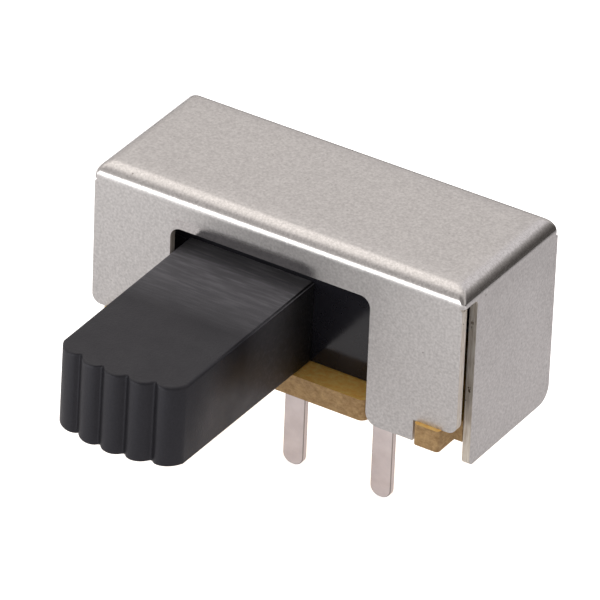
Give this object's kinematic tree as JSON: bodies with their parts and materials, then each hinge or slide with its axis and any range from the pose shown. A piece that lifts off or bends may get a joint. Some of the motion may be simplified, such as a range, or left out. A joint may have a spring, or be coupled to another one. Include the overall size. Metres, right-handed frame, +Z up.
{
  "type": "slide switch",
  "caption": "Right-angle slide switch for a circuit board: folded nickel-plated steel frame, long ribbed black knob in a slot, phenolic base board and flat terminals.",
  "frame": {"origin": "middle of the case on the plane of the circuit board that the two side panels stand on", "axes": "X along the slot, -Y out of the front where the knob stands, Z up from the circuit board"},
  "size_m": [0.0126, 0.0118, 0.0091],
  "materials": {
    "nickel_plate": "satin nickel plating on folded sheet",
    "phenolic": "punched paper-phenolic board",
    "black_moulding": "satin moulded plastic",
    "silver_plate": "dull silver plating on punched brass strip",
    "spring_brass": "bare spring strip"
  },
  "bodies": {
    "case": {"steel_frame": "nickel_plate", "base_board": "phenolic", "left_terminal": "silver_plate", "common_terminal": "silver_plate", "right_terminal": "silver_plate"},
    "slider": {"slider": "black_moulding", "contact_clip": "spring_brass"}
  },
  "joints": [
    {"name": "slider_travel", "type": "slide", "parent": "case", "child": "slider", "axis": [1, 0, 0], "range_m": [0, 0.00232]}
  ]
}
